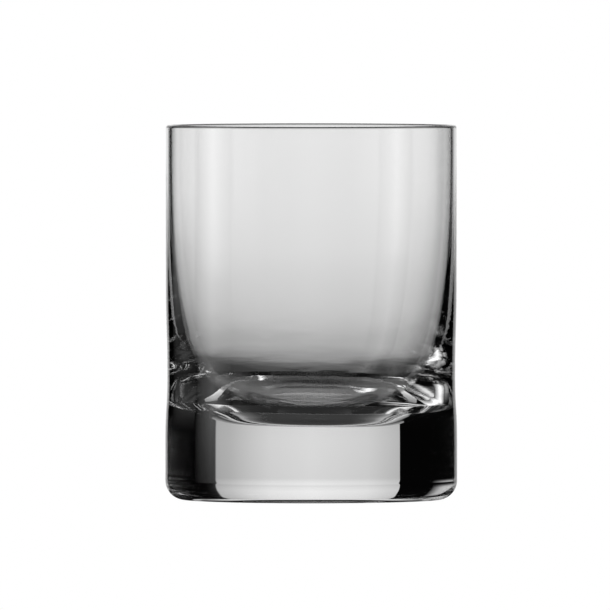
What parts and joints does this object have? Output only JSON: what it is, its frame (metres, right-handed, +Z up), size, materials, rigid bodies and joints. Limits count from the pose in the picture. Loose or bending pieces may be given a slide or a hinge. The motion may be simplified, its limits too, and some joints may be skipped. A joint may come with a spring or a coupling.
{
  "type": "whiskey tumbler",
  "caption": "Straight-sided clear glass tumbler with a thin fire-polished lip, a dished cavity floor and a deep solid glass base.",
  "frame": {"origin": "centre of the circle that the foot stands on", "axes": "+Z up along the glass's axis, from the foot to the lip; X and Y are free, because the glass is round"},
  "size_m": [0.0804, 0.0804, 0.103],
  "materials": {
    "clear_glass": "clear, fire-polished"
  },
  "bodies": {
    "root": {"tumbler_glass": "clear_glass"}
  },
  "joints": []
}
